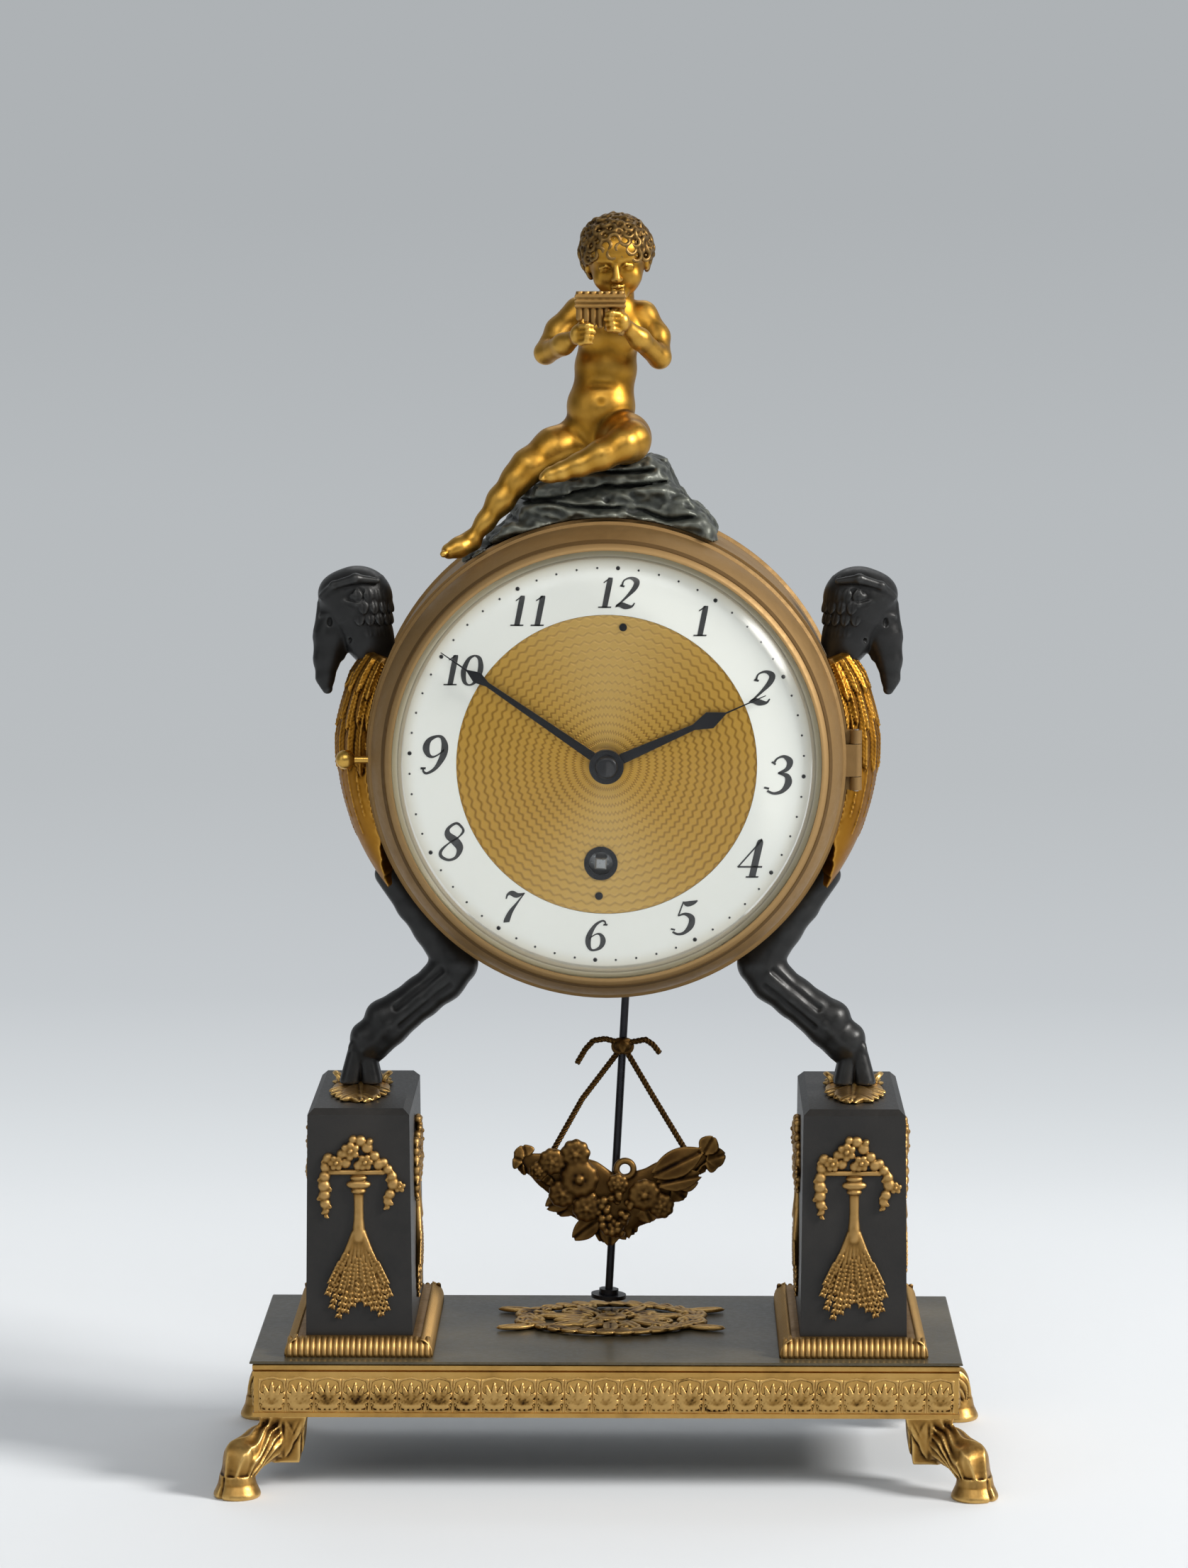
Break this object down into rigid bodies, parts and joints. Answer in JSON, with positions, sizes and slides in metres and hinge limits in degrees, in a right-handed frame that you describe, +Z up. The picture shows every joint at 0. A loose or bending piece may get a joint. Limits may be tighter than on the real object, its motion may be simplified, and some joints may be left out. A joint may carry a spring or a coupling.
{
  "type": "mantel clock",
  "caption": "Mantel clock: round drum held by winged griffins on plinths, a piping child on top, garland pendulum, stepped base on goat feet.",
  "frame": {"origin": "on the table under the middle of the base", "axes": "+X to the right seen from the front, +Y to the back, +Z up"},
  "size_m": [0.2332, 0.1152, 0.3804],
  "materials": {
    "slab": "honed dark stone",
    "gilt": "matt and burnished gilding",
    "ebonised": "ebonised, satin",
    "black_bronze": "black patinated bronze, satin",
    "rock_bronze": "green-black patina",
    "case_brass": "aged satin brass",
    "enamel": "glossy white enamel with black numbers",
    "glass": "clear domed glass",
    "steel": "plain steel",
    "blued_steel": "dark blued steel",
    "movement_brass": "bright brass",
    "bob_bronze": "dark bronze"
  },
  "bodies": {
    "case": {"base_slab": "slab", "top_moulding": "gilt", "frieze_band": "gilt", "foot_front_left": "gilt", "foot_front_right": "gilt", "foot_back_left": "gilt", "foot_back_right": "gilt", "slab_ornament": "gilt", "plinth_left": "ebonised", "plinth_right": "ebonised", "plinth_moulding_left": "gilt", "plinth_moulding_right": "gilt", "plinth_mounts_left": "gilt", "plinth_mounts_right": "gilt", "hoof_leaf_left": "gilt", "hoof_leaf_right": "gilt", "griffin_leg_left": "black_bronze", "griffin_leg_right": "black_bronze", "wing_left": "gilt", "wing_right": "gilt", "eagle_head_left": "black_bronze", "eagle_head_right": "black_bronze", "drum_case": "case_brass", "hinge_pins": "steel", "dial_plate": "gilt", "dial_ring": "enamel", "dial_pins": "steel", "winding_collar": "blued_steel", "front_plate": "movement_brass", "back_plate": "movement_brass", "plate_pillars": "movement_brass", "pendulum_cock": "movement_brass", "rock": "rock_bronze", "putto": "gilt", "panpipes": "gilt"},
    "bezel": {"bezel": "case_brass", "bezel_glass": "glass", "bezel_knob": "case_brass"},
    "back_door": {"back_door": "case_brass"},
    "minute_hand": {"centre_wheel": "movement_brass", "cannon_pinion": "movement_brass", "minute_hand": "blued_steel", "hand_collet": "blued_steel"},
    "hour_hand": {"hour_wheel": "movement_brass", "hour_hand": "blued_steel"},
    "minute_wheel": {"minute_wheel": "movement_brass"},
    "barrel": {"barrel": "movement_brass", "barrel_cover": "movement_brass", "mainspring": "steel"},
    "third_wheel": {"third_wheel": "movement_brass"},
    "escape_wheel": {"escape_wheel": "movement_brass"},
    "winding_arbor": {"winding_arbor": "steel", "ratchet_wheel": "steel"},
    "click": {"click": "steel"},
    "pendulum": {"pendulum_rod": "blued_steel", "pendulum_ropes": "bob_bronze", "garland": "bob_bronze"},
    "rating_nut": {"rating_nut": "blued_steel"},
    "anchor": {"anchor": "steel", "crutch": "steel"}
  },
  "joints": [
    {"name": "bezel_hinge", "type": "hinge", "parent": "case", "child": "bezel", "pos_m": [0.0743, -0.0162, 0.2168], "axis": [0, 0, 1], "range_deg": [0, 105]},
    {"name": "back_door_hinge", "type": "hinge", "parent": "case", "child": "back_door", "pos_m": [0.0753, 0.037, 0.2168], "axis": [0, 0, -1], "range_deg": [0, 120]},
    {"name": "minute_hand_turn", "type": "hinge", "parent": "case", "child": "minute_hand", "pos_m": [0, -0.033, 0.2168], "axis": [0, 1, 0], "continuous": true},
    {"name": "hour_hand_turn", "type": "hinge", "parent": "case", "child": "hour_hand", "pos_m": [0, -0.032, 0.2168], "axis": [0, 1, 0], "continuous": true},
    {"name": "minute_wheel_turn", "type": "hinge", "parent": "case", "child": "minute_wheel", "pos_m": [0.01198, -0.022, 0.21611], "axis": [0, 1, 0], "continuous": true},
    {"name": "barrel_turn", "type": "hinge", "parent": "case", "child": "barrel", "pos_m": [-0.0017, -0.008, 0.18735], "axis": [0, 1, 0], "continuous": true},
    {"name": "third_wheel_turn", "type": "hinge", "parent": "case", "child": "third_wheel", "pos_m": [0.01601, -0.005, 0.23387], "axis": [0, 1, 0], "continuous": true},
    {"name": "escape_wheel_turn", "type": "hinge", "parent": "case", "child": "escape_wheel", "pos_m": [0.00166, -0.011, 0.24554], "axis": [0, 1, 0], "continuous": true},
    {"name": "winding_turn", "type": "hinge", "parent": "case", "child": "winding_arbor", "pos_m": [-0.0017, -0.021, 0.18735], "axis": [0, 1, 0], "range_deg": [0, 1800]},
    {"name": "click_lift", "type": "hinge", "parent": "case", "child": "click", "pos_m": [-0.01299, -0.021, 0.19301], "axis": [0, 1, 0], "range_deg": [0, 12]},
    {"name": "pendulum_swing", "type": "hinge", "parent": "case", "child": "pendulum", "pos_m": [0.00268, 0.022, 0.26322], "axis": [0, 1, 0], "range_deg": [-4, 4]},
    {"name": "anchor_rock", "type": "hinge", "parent": "case", "child": "anchor", "pos_m": [0.00268, -0.011, 0.26322], "axis": [0, 1, 0], "range_deg": [-4, 4]},
    {"name": "rating_nut_turn", "type": "hinge", "parent": "pendulum", "child": "rating_nut", "pos_m": [0.00007, 0.022, 0.0448], "axis": [0.0551, 0, 0.9985], "range_deg": [-720, 720]}
  ],
  "couplings": [
    {"joint": "hour_hand_turn", "follows": "minute_hand_turn", "ratio": 0.083333},
    {"joint": "minute_wheel_turn", "follows": "minute_hand_turn", "ratio": -0.33333},
    {"joint": "barrel_turn", "follows": "minute_hand_turn", "ratio": -0.16667},
    {"joint": "third_wheel_turn", "follows": "minute_hand_turn", "ratio": -12},
    {"joint": "escape_wheel_turn", "follows": "minute_hand_turn", "ratio": 136},
    {"joint": "anchor_rock", "follows": "pendulum_swing", "ratio": 1}
  ]
}
